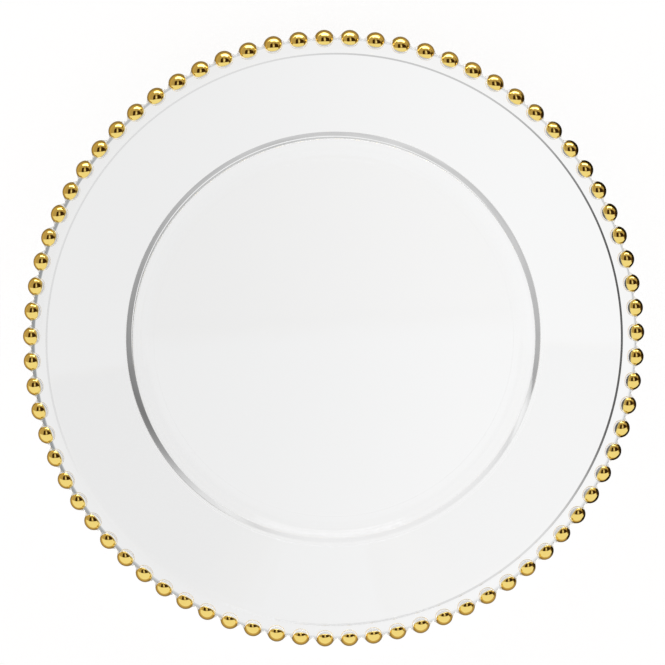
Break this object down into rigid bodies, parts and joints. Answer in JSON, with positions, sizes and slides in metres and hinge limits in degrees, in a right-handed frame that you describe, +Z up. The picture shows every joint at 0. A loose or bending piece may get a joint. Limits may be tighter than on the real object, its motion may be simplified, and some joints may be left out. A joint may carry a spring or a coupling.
{
  "type": "charger plate",
  "caption": "Round clear glass charger plate with a flat well, a wide sloping rim and a ring of gold-coated glass beads.",
  "frame": {"origin": "centre of the plate, on the table that its foot ring stands on", "axes": "+Z up along the plate's axis of turning; +X runs through the centre of one bead"},
  "size_m": [0.33, 0.33, 0.0283],
  "materials": {
    "clear_glass": "clear, pressed and fire polished",
    "fired_gold": "bright fired gold"
  },
  "bodies": {
    "root": {"glass_plate": "clear_glass", "gold_caps": "fired_gold"}
  },
  "joints": []
}
